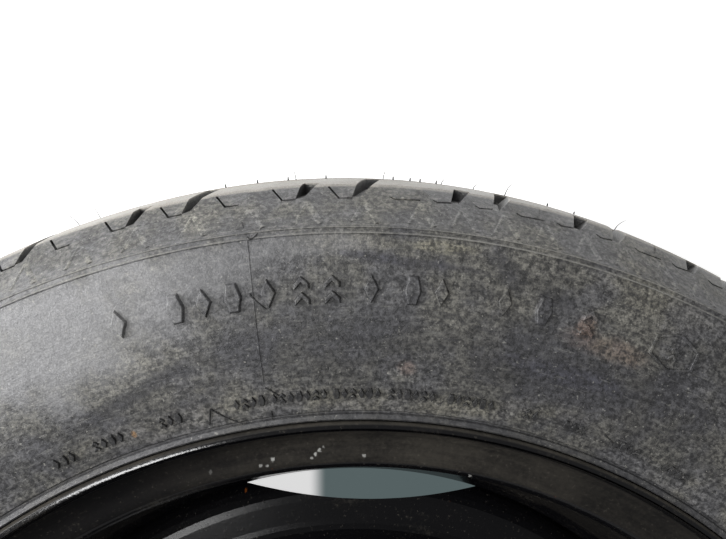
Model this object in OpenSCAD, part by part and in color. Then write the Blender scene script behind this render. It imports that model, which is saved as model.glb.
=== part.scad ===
// Compact spare wheel for a car, lying flat with its street side up.
// A narrow radial tyre sits on a welded steel wheel with a snap-in valve.
// Sizes are millimetres. The origin is on the wheel's axis, half way between the
// rim's two flanges, and +Z points out of the street side.
// The skilled feature is the pressed and welded wheel: one bent-sheet outline
// each for the drop-centre rim and for the disc stamped from a square blank,
// whose four cut edges leave the lens-shaped vents.

/* [Tyre] */
// Overall diameter
tyre_od = 581; // [572:1:590]
// Overall width
tyre_w = 131; // [128:0.5:134]
// Width of the tread between its shoulder edges
tread_w = 94.6; // [90:0.2:98]
// Fall of the tread from its middle to the shoulder edge
tread_fall = 5.5; // [4.5:0.1:7]
// Rubber and belts under the middle of the tread
crown_t = 10; // [9.5:0.1:12]
// Wall at the widest place
sidewall_t = 8; // [6.5:0.1:9]
// Height of the sidewall's widest place above the bead seat
widest_h = 59.9; // [58:0.1:62]
// Width of the flat band that the tyre lies on
rest_band_w = 8; // [6:0.5:10]
// Radius of the sidewall's arc across the section
side_arc_r = 125; // [118:1:135]
// Distance from the widest place out to the start of the buttress
buttress_rise = 21; // [18:0.5:23]
// Width of the bead foot on its seat
bead_w = 14; // [12.5:0.1:14.6]
// Inner corner radius under the shoulder
inner_shoulder_r = 34; // [30:1:38]

/* [Tread pattern] */
// Width of each groove round the tread, at its floor
groove_w = 5.2; // [4:0.1:6.5]
// Depth of the grooves round the tread
groove_depth = 4.4; // [3.5:0.1:5]
// Distance between neighbouring grooves round the tread
groove_pitch = 21; // [19:0.5:22]
// Width of the floor of a shoulder notch
notch_w = 2.4; // [1.6:0.1:3.2]
// Depth of a shoulder notch
notch_depth = 3.5; // [2.5:0.1:4.2]
// Lean of a shoulder notch across the tread
notch_lean = 12; // [8:1:20]
// Length across the tread of each group's first notch, which stops short
short_notch_l = 8; // [6:0.5:11]
// Pitch of a long block group, in degrees
long_pitch = 11.5; // [10.6:0.1:12.4]

/* [Rim] */
// Diameter of the bead seats at the flanges
seat_d = 380.2; // [379.4:0.1:381]
// Distance between the two flange faces
rim_w = 101.6; // [100:0.1:103]
// Thickness of the rim's sheet
rim_t = 2.5; // [2.3:0.1:2.8]
// Height of a flange above its bead seat
flange_h = 17.3; // [16.8:0.1:17.6]
// Radius of the flange's curl on the tyre's side
curl_r = 9.5; // [9:0.1:10]
// Length of the straight lip past the curl
lip_l = 1.5; // [1:0.1:2.5]
// Taper of the bead seats in degrees
seat_taper = 5; // [4:0.5:6]
// Radius of the corner between seat and flange, on the tyre's side
heel_r = 6.5; // [6:0.1:7]
// Width of a bead seat
seat_w = 14.5; // [14:0.1:15]
// Rise of the street side's hump
hump_h = 1.1; // [0.8:0.1:1.5]
// Inner radius of the well, which the disc is pressed into
well_r = 170; // [168.5:0.1:171]
// Height of the well's street-side corner
well_top_z = 4; // [2:0.5:5]
// Height of the well's inboard corner
well_low_z = -22; // [-24:0.5:-21]
// Bend radius of the well's corners at mid sheet
well_bend_r = 8; // [7:0.5:9]

/* [Disc] */
// Thickness of the disc's sheet
disc_t = 3.5; // [3:0.1:4]
// Height of the disc's flange edge, on the inboard side
disc_edge_z = -16.5; // [-18:0.5:-15]
// Height of the flange's bend, where its outer corner would be
disc_corner_z = 7.1; // [6:0.1:8]
// Bend radius of the disc's flange at mid sheet
disc_bend_r = 10.2; // [9:0.1:11]
// Slope of the shelf inside the flange, in degrees
shelf_slope = 10; // [6:1:13]
// Radius of the shelf's inner end
shelf_r = 148; // [144:1:150]
// Radius of the crown's outer corner
crown_out_r = 119; // [115:1:122]
// Radius of the crown's inner corner
crown_in_r = 86; // [84:1:90]
// Height of the crown at mid sheet
crown_z = 49; // [47:0.5:52]
// Radius of the hub pad's edge
pad_r = 77; // [76:0.5:80]
// Height of the face that meets the hub: the wheel's offset
hub_face_z = 40; // [38:0.5:42]
// Distance from the axis to a cut edge of the square blank
blank_edge = 159.7; // [158:0.1:161]
// Radius of the bow of a cut edge
blank_bow_r = 193; // [180:1:215]
// Lean of a cut edge, which is sheared square to the sheet before it is pressed
blank_lean = 26.6; // [22:0.2:30]
// Turn of the disc against the tyre, in degrees
disc_turn = -2.1; // [-10:0.1:10]
// Diameter of the centre bore
bore_d = 63.4; // [57:0.1:67]
// Diameter of the bolt circle
bolt_circle_d = 108; // [105:1:114]
// Diameter of a bolt hole
bolt_hole_d = 15; // [13.5:0.1:15.5]
// Rise of a bolt seat above the pad
bolt_seat_rise = 2.4; // [1.8:0.1:3]
// Full angle of the bolt seats' cone
bolt_seat_angle = 60; // [55:1:70]
// Length of one weld along the rim
weld_l = 32; // [24:1:40]
// Leg of the weld fillets
weld_leg = 3.6; // [3:0.1:4]

/* [Valve] */
// Diameter of the hole in the rim
valve_hole_d = 11.5; // [11.3:0.1:11.9]
// Diameter of the rubber head inside the tyre
valve_head_d = 19; // [18:0.1:19.5]
// Length of the rubber stem above the rim
stem_l = 20.5; // [19:0.1:21.5]
// Height of the brass tip above the rim
tip_z = 31.5; // [30.6:0.1:32.5]
// Diameter over the tube's cap thread
cap_thread_d = 7.7; // [7.5:0.05:7.9]
// Diameter over the core's thread
core_thread_d = 5.2; // [5.1:0.02:5.26]
// Depth of the core's chamber below the tip
core_chamber = 7.1; // [7:0.1:7.4]
// Diameter of the core's barrel
barrel_d = 3.6; // [3.5:0.02:3.7]
// Diameter of the core's pin
pin_d = 1.1; // [1:0.02:1.2]
// Turns of the core's spring
spring_turns = 9; // [7:1:10]
// Wire of the core's spring
spring_wire = 0.22; // [0.18:0.01:0.26]
// Diameter of the cap
cap_d = 10; // [9.6:0.1:10.6]
// Length of the cap
cap_l = 12; // [11.5:0.1:13]
// Length of the cap's thread
cap_thread_l = 4.8; // [4.4:0.1:5.6]
// Ribs round the cap
cap_ribs = 12; // [10:1:14]

/* [Fits] */
// Gap between bead and rim
bead_gap = 0.35; // [0.3:0.01:0.45]
// Gap between the disc's flange and the well
flange_gap = 0.03; // [0.02:0.01:0.1]
// Gap between pieces that are pressed or moulded together
snug_gap = 0.02; // [0.02:0.005:0.04]
// Gap of a turned thread in its bore
thread_gap = 0.05; // [0.03:0.01:0.08]

/* [Hidden] */
$fn = 96;

rubber = "#3a3936";
black_paint = "#191a1c";
valve_black = "#222222";
brass = "#b5934a";
seal_red = "#a5452f";
steel = "#b9bcc0";

bend_step = 15;
quadrants = 4;
quadrant_angle = 360 / quadrants;
long_groups = 4;
short_groups = 5;
short_pitch = (quadrant_angle - long_groups * long_pitch) / short_groups;
first_group = -39.6;
notches_per_group = 2;
blocks_per_group = 3;
notch_shift = 1.6;

tyre_r = tyre_od / 2;
seat_r = seat_d / 2;
flange_z = rim_w / 2;
flange_r = seat_r + flange_h;
widest_r = seat_r + widest_h;
buttress_r = widest_r + buttress_rise;
bolt_count = 5;

// Plane geometry

function dir(a, b) = (b - a) / norm(b - a);
function left(d) = [-d[1], d[0]];
function flat(v) = [v[0], v[1]];
function turned(v, a) = [v[0] * cos(a) - v[1] * sin(a), v[0] * sin(a) + v[1] * cos(a)];
function turn(d1, d2) = atan2(d1[0] * d2[1] - d1[1] * d2[0], d1 * d2);
function flipped(path) = [for (i = [len(path) - 1:-1:0]) path[i]];
function mirrored(path) = [for (p = flipped(path)) [p[0], -p[1]]];

// Direction into and out of corner i of a path of [x, y, bend radius]
function dir_in(path, i) = dir(flat(path[max(i - 1, 0)]), flat(path[max(i, 1)]));
function dir_out(path, i) =
    let(last = len(path) - 1)
    dir(flat(path[min(i, last - 1)]), flat(path[min(i + 1, last)]));

// Corner i, moved by s to the left of the path
function side_corner(path, i, s) =
    let(n1 = left(dir_in(path, i)), n2 = left(dir_out(path, i)), m = (n1 + n2) / norm(n1 + n2))
    flat(path[i]) + m * s / (m * n1);

// Points of the bend at corner i of a side line
function bend(path, i, s) =
    let(
        d1 = dir_in(path, i),
        a = turn(d1, dir_out(path, i)),
        r = path[i][2] - s * sign(a),
        start = side_corner(path, i, s) - d1 * r * tan(abs(a) / 2),
        arm = -left(d1) * sign(a) * r,
        steps = max(1, ceil(abs(a) / bend_step))
    )
    [for (k = [0:steps]) start - arm + turned(arm, a * k / steps)];

// Side line of a path at distance s to its left, with its bends
function side_line(path, s) =
    let(last = len(path) - 1)
    [for (i = [0:last])
        for (p = (i == 0 || i == last) ? [side_corner(path, i, s)] : bend(path, i, s)) p];

// Outline of a sheet of thickness t bent along a path
function sheet(path, t) = concat(side_line(path, t / 2), flipped(side_line(path, -t / 2)));

// Tyre

half_tread = tread_w / 2;
crown_arc_r = (half_tread * half_tread + tread_fall * tread_fall) / (2 * tread_fall);
shoulder_r = tyre_r - tread_fall;
crown_steps = 6;
side_steps = 7;
check_line_r = flange_r + 3.1;
inner_crown_r = tyre_r - crown_t;
inner_side_z = tyre_w / 2 - sidewall_t;
toe_chamfer = 1.2;

// Radius of the tread's surface at height z
function tread_at(z) = tyre_r - crown_arc_r + sqrt(crown_arc_r * crown_arc_r - z * z);

// Height of the sidewall's surface at radius r
function side_at(r) =
    let(past_band = max(0, abs(r - widest_r) - rest_band_w / 2))
    tyre_w / 2 - side_arc_r + sqrt(side_arc_r * side_arc_r - past_band * past_band);

crown_line = [for (k = [0:crown_steps]) let(z = half_tread * k / crown_steps) [tread_at(z), z]];
buttress_line = [for (k = [0:side_steps])
    let(r = buttress_r + (widest_r + rest_band_w / 2 - buttress_r) * k / side_steps)
    [r, side_at(r)]];
lower_side_line = [for (k = [0:side_steps])
    let(r = widest_r - rest_band_w / 2 + (check_line_r - widest_r + rest_band_w / 2) * k / side_steps)
    [r, side_at(r)]];

// Foot of the bead: down the flange's curl, round the heel and along the seat
bead_face_z = flange_z - bead_gap;
bead_top_z = flange_z + curl_r - bead_gap;
foot_r = seat_r + bead_gap;
toe_z = flange_z - bead_w;
toe_r = foot_r - bead_w * tan(seat_taper);
bead_path = [
    [flange_r + bead_gap, bead_top_z + 0.6, 0],
    [flange_r + bead_gap, bead_face_z, curl_r + bead_gap],
    [foot_r, bead_face_z, heel_r + bead_gap],
    [toe_r, toe_z, 0]
];

// Inside of the casing, from the toe to the middle of the crown
bead_back = [seat_r + 10, toe_z + 5.5];
apex_drop = 18;
apex_r = widest_r - apex_drop;
casing_path = [
    [toe_r + toe_chamfer, toe_z - toe_chamfer, 0],
    [bead_back[0], bead_back[1], 10],
    [apex_r, inner_side_z, 40],
    [inner_crown_r, inner_side_z, inner_shoulder_r],
    [inner_crown_r, 0, 0]
];

half_section = concat(
    crown_line, buttress_line, lower_side_line,
    side_line(bead_path, 0), side_line(casing_path, 0)
);
tyre_section = concat(half_section, mirrored(half_section));

module round_groove(z) {
    flare = 0.8;
    top = tyre_r + 1;
    floor_r = tread_at(z) - groove_depth;
    translate([0, z])
        polygon([
            [floor_r, -groove_w / 2], [floor_r, groove_w / 2],
            [top, groove_w / 2 + flare], [top, -groove_w / 2 - flare]
        ]);
}

// A long notch runs from the groove nearest the shoulder out through the buttress
notch_in_z = groove_pitch;
notch_run = half_tread - notch_in_z;
notch_sill = 0.4;
notch_start_r = tread_at(notch_in_z) - groove_depth + notch_sill;
notch_rise = notch_start_r - (shoulder_r - notch_depth);
notch_far_wall = 40;
notch_h = 14;

module notch_cutter(run) {
    overrun = 12;
    translate([shoulder_r - notch_depth, 0, half_tread])
        rotate([-notch_lean, atan2(-notch_rise, notch_run), 0])
            translate([0, 0, -run])
                linear_extrude(run + overrun)
                    polygon([
                        [0, notch_w / 2], [notch_h, notch_w / 2],
                        [notch_h, -notch_w / 2 - notch_h * tan(notch_far_wall)],
                        [0, -notch_w / 2]
                    ]);
}

// Start of each block group in one quadrant, measured clockwise from +Y
group_starts = [for (g = [0:long_groups + short_groups - 1])
    first_group + min(g, long_groups) * long_pitch + max(0, g - long_groups) * short_pitch];
function group_pitch(g) = g < long_groups ? long_pitch : short_pitch;

module shoulder_notches() {
    for (q = [0:quadrants - 1])
        for (g = [0:long_groups + short_groups - 1])
            for (n = [0:notches_per_group - 1]) {
                place = group_starts[g] + group_pitch(g) * n / blocks_per_group + notch_shift;
                rotate([0, 0, 90 - q * quadrant_angle - place])
                    notch_cutter(n == 0 ? short_notch_l : notch_run);
            }
}

module tyre() {
    color(rubber)
        difference() {
            rotate_extrude($fn = 180)
                difference() {
                    polygon(tyre_section);
                    for (i = [-1:1])
                        round_groove(i * groove_pitch);
                }
            shoulder_notches();
            rotate([180, 0, long_pitch / 2])
                shoulder_notches();
        }
}

// Rim

half_sheet = rim_t / 2;
lip_mid_r = flange_r - half_sheet;
flange_mid_z = flange_z + half_sheet;
function seat_mid_at(z) = seat_r - half_sheet / cos(seat_taper) - (flange_z - z) * tan(seat_taper);
seat_end_z = flange_z - seat_w;
hump_inset = 5.2;
hump_z = seat_end_z - hump_inset;
well_mid_r = well_r + half_sheet;
low_shoulder_rise = 3.5;
low_shoulder_z = low_shoulder_rise - seat_end_z;
rim_path = [
    [lip_mid_r, flange_z + curl_r + lip_l, 0],
    [lip_mid_r, flange_mid_z, curl_r - half_sheet],
    [seat_mid_at(flange_mid_z), flange_mid_z, heel_r + half_sheet],
    [seat_mid_at(seat_end_z), seat_end_z, 6],
    [seat_mid_at(seat_end_z) + hump_h, hump_z, 3.5],
    [well_mid_r, well_top_z, well_bend_r],
    [well_mid_r, well_low_z, well_bend_r],
    [seat_mid_at(seat_end_z), low_shoulder_z, well_bend_r],
    [seat_mid_at(flange_mid_z), -flange_mid_z, heel_r + half_sheet],
    [lip_mid_r, -flange_mid_z, curl_r - half_sheet],
    [lip_mid_r, -flange_z - curl_r - lip_l, 0]
];

module rim() {
    color(black_paint)
        difference() {
            rotate_extrude($fn = 180)
                polygon(sheet(rim_path, rim_t));
            at_valve()
                cylinder(h = 6 * rim_t, d = valve_hole_d, center = true);
        }
}

// Disc

disc_mid_r = well_r - flange_gap - disc_t / 2;
shelf_z = disc_corner_z + (disc_mid_r - shelf_r) * tan(shelf_slope);
pad_z = hub_face_z + disc_t / 2;
disc_path = [
    [disc_mid_r, disc_edge_z, 0],
    [disc_mid_r, disc_corner_z, disc_bend_r],
    [shelf_r, shelf_z, 10],
    [crown_out_r, crown_z, 14],
    [crown_in_r, crown_z, 9],
    [pad_r, pad_z, 7],
    [bore_d / 2, pad_z, 0]
];

// Outline of one bolt seat about its bolt's axis, measured from the pad's middle
seat_foot = 5;
seat_top_w = 2;
seat_land = 1.5;
half_disc = disc_t / 2;
cone_h = disc_t + bolt_seat_rise - seat_land;
cone_top_r = bolt_hole_d / 2 + cone_h * tan(bolt_seat_angle / 2);
ridge_r = cone_top_r + seat_top_w;
seat_out_r = ridge_r + seat_foot * 0.6;
seat_hollow = [ridge_r - 1.6, bolt_seat_rise - half_disc];
bolt_seat_outline = [
    [seat_out_r, -half_disc], [seat_out_r, half_disc], [ridge_r, half_disc + bolt_seat_rise],
    [cone_top_r, half_disc + bolt_seat_rise], [bolt_hole_d / 2, seat_land - half_disc],
    [bolt_hole_d / 2, -half_disc], [cone_top_r - 0.9, -half_disc],
    [seat_hollow[0], seat_hollow[1]], [seat_hollow[0] + 1, seat_hollow[1]],
    [ridge_r + 1.2, -half_disc]
];

module on_bolt_circle() {
    for (i = [0:bolt_count - 1])
        rotate([0, 0, i * 360 / bolt_count - 90])
            translate([bolt_circle_d / 2, 0, 0])
                children();
}

module weld_fillet() {
    weld_span = weld_l / well_r * 180 / PI;
    root_r = well_r - flange_gap;
    bite = 0.6;
    sheet_in_r = root_r - disc_t;
    rotate([0, 0, -weld_span / 2])
        rotate_extrude(angle = weld_span, $fn = 180)
            polygon([
                [root_r - bite, disc_edge_z + bite], [root_r, disc_edge_z - bite],
                [root_r, disc_edge_z - weld_leg],
                [root_r - weld_leg * 0.4, disc_edge_z - weld_leg * 0.7],
                [sheet_in_r - bite, disc_edge_z + bite],
                [sheet_in_r + bite, disc_edge_z + 2 * bite]
            ]);
}

// The square blank's edges, each met by the pressed sheet at its street-side face
edge_z = disc_corner_z + (disc_mid_r - blank_edge) * tan(shelf_slope) + disc_t / 2;

module blank_edges() {
    reach = 2 * (edge_z - disc_edge_z) / cos(blank_lean);
    for (q = [0:quadrants - 1])
        rotate([0, 0, q * quadrant_angle])
            translate([0, blank_edge, edge_z])
                rotate([-blank_lean, 0, 0])
                    translate([0, blank_bow_r, 0])
                        cylinder(h = 2 * reach, r = blank_bow_r, center = true, $fn = 180);
}

module wheel_disc() {
    weld_offset = 14;
    seat_overlap = 0.3;
    color(black_paint)
        rotate([0, 0, disc_turn]) {
            difference() {
                rotate_extrude($fn = 180)
                    polygon(sheet(disc_path, disc_t));
                blank_edges();
                on_bolt_circle()
                    translate([0, 0, pad_z - disc_t])
                        cylinder(h = 2 * disc_t, r = seat_out_r - seat_overlap);
            }
            on_bolt_circle()
                translate([0, 0, pad_z])
                    rotate_extrude()
                        polygon(bolt_seat_outline);
            for (q = [0:quadrants - 1])
                for (s = [-1, 1])
                    rotate([0, 0, (q + 0.5) * quadrant_angle + s * weld_offset])
                        weld_fillet();
        }
}

// Valve, measured along its own axis from the rim's street-side face

slope_in = seat_mid_at(seat_end_z) + hump_h - well_mid_r;
slope_up = hump_z - well_top_z;
valve_tilt = atan2(slope_in, slope_up);
slope_share = 0.5;

module at_valve() {
    rotate([0, 0, disc_turn - 90])
        translate([well_mid_r + slope_in * slope_share, 0, well_top_z + slope_up * slope_share])
            rotate([0, valve_tilt - 90, 0])
                translate([0, 0, half_sheet])
                    children();
}

tube_r = 3.1;
tube_low_z = -rim_t - 3.5;
head_floor_t = 1.5;
head_low_z = tube_low_z - head_floor_t;
chamber_z = tip_z - core_chamber;
air_bore_r = barrel_d / 2 + 0.15;
seat_low_z = chamber_z - 2;

module valve_rubber() {
    neck_r = valve_hole_d / 2 - snug_gap;
    head_r = valve_head_d / 2;
    shoulder_z = 0.25;
    bore_r = tube_r + snug_gap;
    color(valve_black)
        at_valve()
            rotate_extrude()
                polygon([
                    [air_bore_r + 0.3, head_low_z], [neck_r, head_low_z],
                    [head_r, -rim_t - 1.2], [head_r, -rim_t - snug_gap],
                    [neck_r, -rim_t - snug_gap], [neck_r, shoulder_z],
                    [neck_r + 1.9, shoulder_z], [neck_r + 1.9, 3.2],
                    [neck_r + 0.7, 8], [neck_r - 0.1, 14],
                    [neck_r - 0.5, stem_l - 0.6], [neck_r - 1.1, stem_l],
                    [bore_r, stem_l], [bore_r, tube_low_z - snug_gap],
                    [air_bore_r + 0.3, tube_low_z - snug_gap]
                ]);
}

module valve_tube() {
    thread_r = cap_thread_d / 2;
    chamber_r = core_thread_d / 2 + thread_gap;
    step_z = stem_l + snug_gap;
    chamfer = 0.4;
    color(brass)
        at_valve()
            rotate_extrude()
                polygon([
                    [air_bore_r, tube_low_z], [tube_r, tube_low_z], [tube_r, step_z],
                    [thread_r, step_z], [thread_r, tip_z - chamfer],
                    [thread_r - chamfer, tip_z], [chamber_r, tip_z],
                    [chamber_r, chamber_z], [air_bore_r, seat_low_z]
                ]);
}

// Core: the barrel hangs under the threaded plug, the pin runs through both
barrel_r = barrel_d / 2;
pin_r = pin_d / 2;
pin_play = 0.2;
plug_low_z = chamber_z + 1.3;
plug_h = 4.7;
bridge_h = 2.2;
bridge_w = 2.8;
pin_top_z = tip_z - 0.4;
barrel_l = 12;
barrel_low_z = plug_low_z - barrel_l;
spring_room_r = barrel_r - 0.5;
lip_t = 0.6;
spring_low_z = barrel_low_z + lip_t;
collar_z = plug_low_z - 2.2;
groove_low_z = seat_low_z + 0.2;
groove_top_z = chamber_z - 0.2;
groove_r = barrel_r - 0.25;

module core_plug() {
    plug_r = core_thread_d / 2;
    color(brass)
        at_valve()
            difference() {
                translate([0, 0, plug_low_z])
                    cylinder(h = plug_h, r = plug_r);
                translate([0, 0, plug_low_z - 1])
                    cylinder(h = plug_h + 2, r = pin_r + pin_play);
                for (s = [-1, 1])
                    translate([s * (bridge_w / 2 + plug_r), 0, plug_low_z + plug_h])
                        cube([2 * plug_r, 4 * plug_r, 2 * bridge_h], center = true);
            }
}

module core_barrel() {
    color(brass)
        at_valve()
            rotate_extrude()
                polygon([
                    [pin_r + pin_play, barrel_low_z], [barrel_r, barrel_low_z],
                    [barrel_r, groove_low_z], [groove_r, groove_low_z],
                    [groove_r, groove_top_z], [barrel_r, groove_top_z],
                    [barrel_r, plug_low_z], [pin_r + pin_play, plug_low_z],
                    [pin_r + pin_play, plug_low_z - lip_t], [spring_room_r, plug_low_z - lip_t],
                    [spring_room_r, spring_low_z], [pin_r + pin_play, spring_low_z]
                ]);
}

// The seal fills the barrel's groove and bears on the tube's cone
cone_out = core_thread_d / 2 + thread_gap - air_bore_r;
function seal_out_r(z) =
    air_bore_r + cone_out * (z - seat_low_z) / (chamber_z - seat_low_z) - snug_gap;

module core_barrel_seal() {
    low_z = groove_low_z + snug_gap;
    top_z = groove_top_z - snug_gap;
    color(seal_red)
        at_valve()
            rotate_extrude()
                polygon([
                    [groove_r + snug_gap, low_z], [seal_out_r(low_z), low_z],
                    [seal_out_r(top_z), top_z], [groove_r + snug_gap, top_z]
                ]);
}

collar_t = 0.4;
gasket_h = 1;
gasket_top_z = barrel_low_z - snug_gap;
cup_r = barrel_r - 0.15;
cup_floor_z = gasket_top_z - gasket_h - snug_gap;
cup_t = 0.6;
pin_low_z = cup_floor_z - cup_t - 0.5;

module core_pin() {
    color(brass)
        at_valve() {
            translate([0, 0, pin_low_z])
                cylinder(h = pin_top_z - pin_low_z, r = pin_r);
            translate([0, 0, collar_z])
                cylinder(h = collar_t, r = spring_room_r - 0.1);
        }
}

module core_cup() {
    wall = 0.2;
    color(brass)
        at_valve()
            rotate_extrude()
                polygon([
                    [pin_r + snug_gap, cup_floor_z - cup_t], [cup_r, cup_floor_z - cup_t],
                    [cup_r, cup_floor_z + cup_t], [cup_r - wall, cup_floor_z + cup_t],
                    [cup_r - wall, cup_floor_z], [pin_r + snug_gap, cup_floor_z]
                ]);
}

module core_gasket() {
    gasket_r = cup_r - 0.2 - snug_gap;
    color(valve_black)
        at_valve()
            translate([0, 0, cup_floor_z + snug_gap])
                difference() {
                    cylinder(h = gasket_h, r = gasket_r);
                    translate([0, 0, -1])
                        cylinder(h = gasket_h + 2, r = pin_r + snug_gap);
                }
}

// Coil spring as one swept wire, six-sided
wire_sides = 6;
steps_per_turn = 12;
wire_r = spring_wire / 2;
coil_r = (spring_room_r + pin_r) / 2;
coil_low_z = spring_low_z + wire_r + snug_gap;
coil_top_z = collar_z - wire_r - snug_gap;
coil_steps = spring_turns * steps_per_turn;
coil_points = [for (i = [0:coil_steps])
    for (k = [0:wire_sides - 1])
        let(
            a = 360 * i / steps_per_turn,
            b = 360 * k / wire_sides,
            r = coil_r + wire_r * cos(b),
            z = coil_low_z + (coil_top_z - coil_low_z) * i / coil_steps + wire_r * sin(b)
        )
        [r * cos(a), r * sin(a), z]];
coil_sides = [for (i = [0:coil_steps - 1])
    for (k = [0:wire_sides - 1])
        let(n = (k + 1) % wire_sides, base = i * wire_sides, next = base + wire_sides)
        [base + k, next + k, next + n, base + n]];
coil_start = [for (k = [0:wire_sides - 1]) k];
coil_end = [for (k = [wire_sides - 1:-1:0]) coil_steps * wire_sides + k];

module core_spring() {
    color(steel)
        at_valve()
            polyhedron(coil_points, concat([coil_start], coil_sides, [coil_end]));
}

// Cap: screws over the tube, its washer seals the tip
cap_bore_r = cap_thread_d / 2 + thread_gap;
washer_t = 0.9;
washer_low_z = tip_z + snug_gap;
washer_top_z = washer_low_z + washer_t;
cap_top_t = 1.2;
cap_hollow = 0.5;
cap_top_z = washer_top_z + snug_gap + cap_hollow + cap_top_t;
cap_low_z = cap_top_z - cap_l;
washer_bore_r = 1.6;

module valve_cap() {
    cap_r = cap_d / 2;
    rib_r = 0.55;
    edge = 0.5;
    skirt_play = 0.3;
    thread_low_z = washer_low_z - cap_thread_l;
    color(valve_black)
        at_valve()
            difference() {
                translate([0, 0, cap_low_z]) {
                    cylinder(h = cap_l - edge, r = cap_r);
                    translate([0, 0, cap_l - edge])
                        cylinder(h = edge, r1 = cap_r, r2 = cap_r - edge);
                }
                translate([0, 0, cap_low_z - 1])
                    cylinder(h = washer_top_z + snug_gap - cap_low_z + 1, r = cap_bore_r);
                translate([0, 0, cap_low_z - 1])
                    cylinder(h = thread_low_z - cap_low_z + 1, r = cap_bore_r + skirt_play);
                translate([0, 0, washer_top_z])
                    cylinder(h = cap_hollow + snug_gap, r = washer_bore_r);
                for (i = [0:cap_ribs - 1])
                    rotate([0, 0, i * 360 / cap_ribs])
                        translate([cap_r + 0.2, 0, cap_low_z + 1.5])
                            cylinder(h = cap_l, r = rib_r, $fn = 24);
            }
}

module cap_seal() {
    color(seal_red)
        at_valve()
            translate([0, 0, washer_low_z])
                difference() {
                    cylinder(h = washer_t, r = cap_bore_r - snug_gap);
                    translate([0, 0, -1])
                        cylinder(h = washer_t + 2, r = washer_bore_r);
                }
}

tyre();
rim();
wheel_disc();
valve_rubber();
valve_tube();
core_plug();
core_barrel();
core_barrel_seal();
core_pin();
core_cup();
core_gasket();
core_spring();
valve_cap();
cap_seal();
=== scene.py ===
"""Looks of a compact spare wheel: a narrow radial tyre on a black welded steel wheel.

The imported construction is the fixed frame. The tyre's moulding and the rim's sheet are remade here
with their fine edges, sipes and raised marks, and every other piece gets its finish. Lengths are
metres where nothing else is said; +Z points out of the wheel's street side and angles round the
wheel run clockwise from +Y.
"""

import logging
import math
from collections.abc import Iterator
from dataclasses import dataclass
from enum import Enum
from functools import cached_property

import bmesh
import bpy
from mathutils import Matrix, Vector


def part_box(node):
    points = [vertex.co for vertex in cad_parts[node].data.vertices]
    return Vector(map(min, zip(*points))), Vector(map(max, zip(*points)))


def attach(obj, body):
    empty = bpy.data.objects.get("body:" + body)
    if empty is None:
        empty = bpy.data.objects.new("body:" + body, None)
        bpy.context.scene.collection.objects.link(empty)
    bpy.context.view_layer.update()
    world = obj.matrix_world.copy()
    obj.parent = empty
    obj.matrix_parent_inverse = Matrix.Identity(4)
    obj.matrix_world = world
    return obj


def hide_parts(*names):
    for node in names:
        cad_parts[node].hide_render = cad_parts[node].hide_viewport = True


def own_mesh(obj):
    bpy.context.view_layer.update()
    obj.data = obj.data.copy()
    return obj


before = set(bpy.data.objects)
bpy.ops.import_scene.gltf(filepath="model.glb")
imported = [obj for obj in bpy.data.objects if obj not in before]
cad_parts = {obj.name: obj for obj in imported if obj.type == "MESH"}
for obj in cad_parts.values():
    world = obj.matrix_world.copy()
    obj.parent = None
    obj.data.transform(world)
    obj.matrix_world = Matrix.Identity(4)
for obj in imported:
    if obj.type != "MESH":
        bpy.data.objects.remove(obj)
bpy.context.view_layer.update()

MM = 0.001
WHEEL = "wheel"
CAMERA_PLACE = Vector((-9.44, 270.96, 267.92)) * MM
CAMERA_RIGHT = Vector((0.99834392, 0.00381532, 0.05740092))
CAMERA_UP = Vector((0.0, 0.9977983, -0.06632164))
PER_GROUP = 3  # blocks of the tread's edge in one group

log = logging.getLogger("spare_wheel")

Point = tuple[float, float]
Corner = tuple[float, float, float]
Colour = tuple[float, float, float]
Mesh = bmesh.types.BMesh
Piece = bpy.types.Object
Material = bpy.types.Material
Socket = bpy.types.NodeSocket


class Shoulder(Enum):
    """The tyre's two shoulders."""

    STREET = 1
    INBOARD = -1


class MarkShape(Enum):
    """Plain shapes of the raised marks on the sidewall."""

    LOZENGE = "lozenge"
    HEXAGON = "hexagon"
    CHEVRON = "double chevron"


def polar(radius: float, angle: float, height: float) -> Vector:
    """Place at a radius, an angle in degrees clockwise from +Y, and a height."""
    a = math.radians(angle)
    return Vector((radius * math.sin(a), radius * math.cos(a), height))


def turned(angle: float) -> Matrix:
    """Turn that carries the place at +Y to an angle clockwise from it."""
    return Matrix.Rotation(-math.radians(angle), 4, "Z")


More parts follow.
